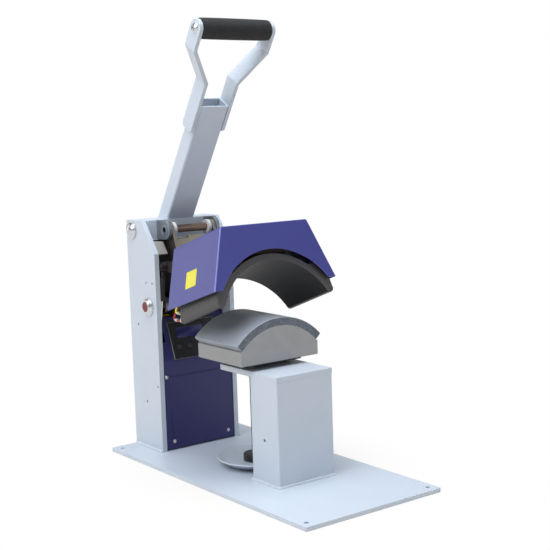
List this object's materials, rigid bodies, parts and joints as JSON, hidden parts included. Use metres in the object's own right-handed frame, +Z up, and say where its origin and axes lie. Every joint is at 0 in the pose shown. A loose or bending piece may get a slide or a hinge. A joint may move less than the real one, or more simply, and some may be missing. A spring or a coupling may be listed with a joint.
{
  "type": "cap heat press",
  "caption": "Clamshell heat press with curved platens for caps, closed by a long forked lever through a toggle linkage, on a flat bolted base.",
  "frame": {"origin": "middle of the base plate's underside, which stands on the bench", "axes": "+Z up, the operator stands on the -Y side, +X to the operator's right; the lever turns about X"},
  "size_m": [0.24, 0.505, 0.6694],
  "materials": {
    "silver_coat": "pale silver-blue powder coat",
    "grey_steel": "plain machined steel",
    "link_steel": "dark brown-grey oxide finish",
    "bright_steel": "zinc-plated bright steel",
    "violet_paint": "satin blue-violet paint",
    "navy_paint": "satin dark blue paint",
    "cast_aluminium": "machined casting",
    "dark_platen": "charcoal non-stick coating",
    "silicone": "matte grey-blue silicone sponge",
    "foam": "black foam rubber",
    "black_plastic": "black moulded plastic",
    "pale_plastic": "pale moulded plastic",
    "button_plastic": "light grey moulded plastic",
    "red_plastic": "red moulded plastic",
    "display": "dark blue display window",
    "nylon": "white nylon",
    "ceramic": "white ceramic",
    "board": "pale mineral insulating board",
    "spacer": "black insulating board",
    "bronze": "turned bronze",
    "yellow_wire": "yellow-green insulation",
    "red_wire": "red silicone insulation"
  },
  "bodies": {
    "stand": {"base_plate": "silver_coat", "left_side_plate": "silver_coat", "right_side_plate": "silver_coat", "guide_blocks": "silver_coat", "front_cover": "navy_paint", "cover_screws": "bright_steel", "controller_housing": "black_plastic", "controller_bezel": "pale_plastic", "controller_screen": "display", "rear_cover": "navy_paint", "power_inlet": "black_plastic", "lever_shaft": "grey_steel", "lever_shaft_caps": "bright_steel", "hub_washers": "nylon", "head_shaft": "grey_steel", "head_shaft_nuts": "bright_steel", "shaft_collars": "grey_steel", "earth_wire": "yellow_wire", "spring_stud": "grey_steel", "pedestal_tube": "silver_coat", "support_plate": "silver_coat", "lift_nut": "bronze"},
    "lower_platen_carriage": {"platen_spacer": "spacer", "guide_pins": "grey_steel", "lower_platen": "cast_aluminium", "silicone_pad": "silicone"},
    "pressure_wheel": {"lift_screw": "grey_steel", "handwheel": "silver_coat", "handwheel_knob": "black_plastic"},
    "head": {"left_head_arm": "link_steel", "right_head_arm": "link_steel", "head_pivot_tube": "link_steel", "carrier_plate": "link_steel", "insulating_board": "board", "platen_bolts": "bright_steel", "upper_platen": "dark_platen", "heater_terminals": "ceramic", "heater_wires": "red_wire", "cover_stays": "link_steel", "head_cover": "violet_paint", "head_cover_screws": "bright_steel", "spring_bracket": "link_steel"},
    "lever": {"lever_hub": "silver_coat", "knee_ears": "silver_coat", "lever_tube": "silver_coat", "left_fork_arm": "silver_coat", "right_fork_arm": "silver_coat", "grip_rod": "grey_steel", "foam_grip": "foam", "grip_screws": "bright_steel", "knee_parts": "grey_steel"},
    "toggle": {"toggle_links": "link_steel", "link_pin": "grey_steel"},
    "spring_rod": {"gas_spring_rod": "bright_steel"},
    "spring_cylinder": {"gas_spring_cylinder": "black_plastic"},
    "mode_key": {"mode_button": "button_plastic"},
    "down_key": {"down_button": "button_plastic"},
    "up_key": {"up_button": "button_plastic"},
    "start_key": {"start_button": "button_plastic"},
    "power_rocker": {"power_switch": "red_plastic"}
  },
  "joints": [
    {"name": "lever_turn", "type": "hinge", "parent": "stand", "child": "lever", "pos_m": [0, 0.236, 0.356], "axis": [1, 0, 0], "range_deg": [0, 41.2]},
    {"name": "head_turn", "type": "hinge", "parent": "stand", "child": "head", "pos_m": [0, 0.1943, 0.237], "axis": [1, 0, 0], "range_deg": [0, 20]},
    {"name": "link_turn", "type": "hinge", "parent": "lever", "child": "toggle", "pos_m": [0, 0.18, 0.357], "axis": [1, 0, 0], "range_deg": [-70.67, 0]},
    {"name": "spring_swing", "type": "hinge", "parent": "stand", "child": "spring_rod", "pos_m": [-0.0585, 0.1985, 0.148], "axis": [1, 0, 0], "range_deg": [0, 8.53]},
    {"name": "spring_stroke", "type": "slide", "parent": "spring_rod", "child": "spring_cylinder", "axis": [0, -0.1779, 0.984], "range_m": [-0.00638, 0]},
    {"name": "wheel_turn", "type": "hinge", "parent": "lower_platen_carriage", "child": "pressure_wheel", "pos_m": [0, 0.02, 0.05], "axis": [0, 0, 1], "range_deg": [-540, 0]},
    {"name": "platen_lift", "type": "slide", "parent": "stand", "child": "lower_platen_carriage", "axis": [0, 0, 1], "range_m": [-0.003, 0]},
    {"name": "mode_press", "type": "slide", "parent": "stand", "child": "mode_key", "axis": [0, 0.9397, -0.342], "range_m": [0, 0.0012], "stiffness_N_per_m": 250, "springref_m": -0.001},
    {"name": "down_press", "type": "slide", "parent": "stand", "child": "down_key", "axis": [0, 0.9397, -0.342], "range_m": [0, 0.0012], "stiffness_N_per_m": 250, "springref_m": -0.001},
    {"name": "up_press", "type": "slide", "parent": "stand", "child": "up_key", "axis": [0, 0.9397, -0.342], "range_m": [0, 0.0012], "stiffness_N_per_m": 250, "springref_m": -0.001},
    {"name": "start_press", "type": "slide", "parent": "stand", "child": "start_key", "axis": [0, 0.9397, -0.342], "range_m": [0, 0.0012], "stiffness_N_per_m": 250, "springref_m": -0.001},
    {"name": "power_rock", "type": "hinge", "parent": "stand", "child": "power_rocker", "pos_m": [0.014, 0.2445, 0.051], "axis": [1, 0, 0], "range_deg": [-14, 0]}
  ],
  "couplings": [
    {"joint": "head_turn", "follows": "lever_turn", "ratio": 0.48544},
    {"joint": "link_turn", "follows": "lever_turn", "ratio": -1.7142},
    {"joint": "spring_swing", "follows": "lever_turn", "ratio": 0.20645},
    {"joint": "spring_stroke", "follows": "lever_turn", "m_per_rad": -0.008843},
    {"joint": "wheel_turn", "follows": "platen_lift", "rad_per_m": 3141.6}
  ]
}
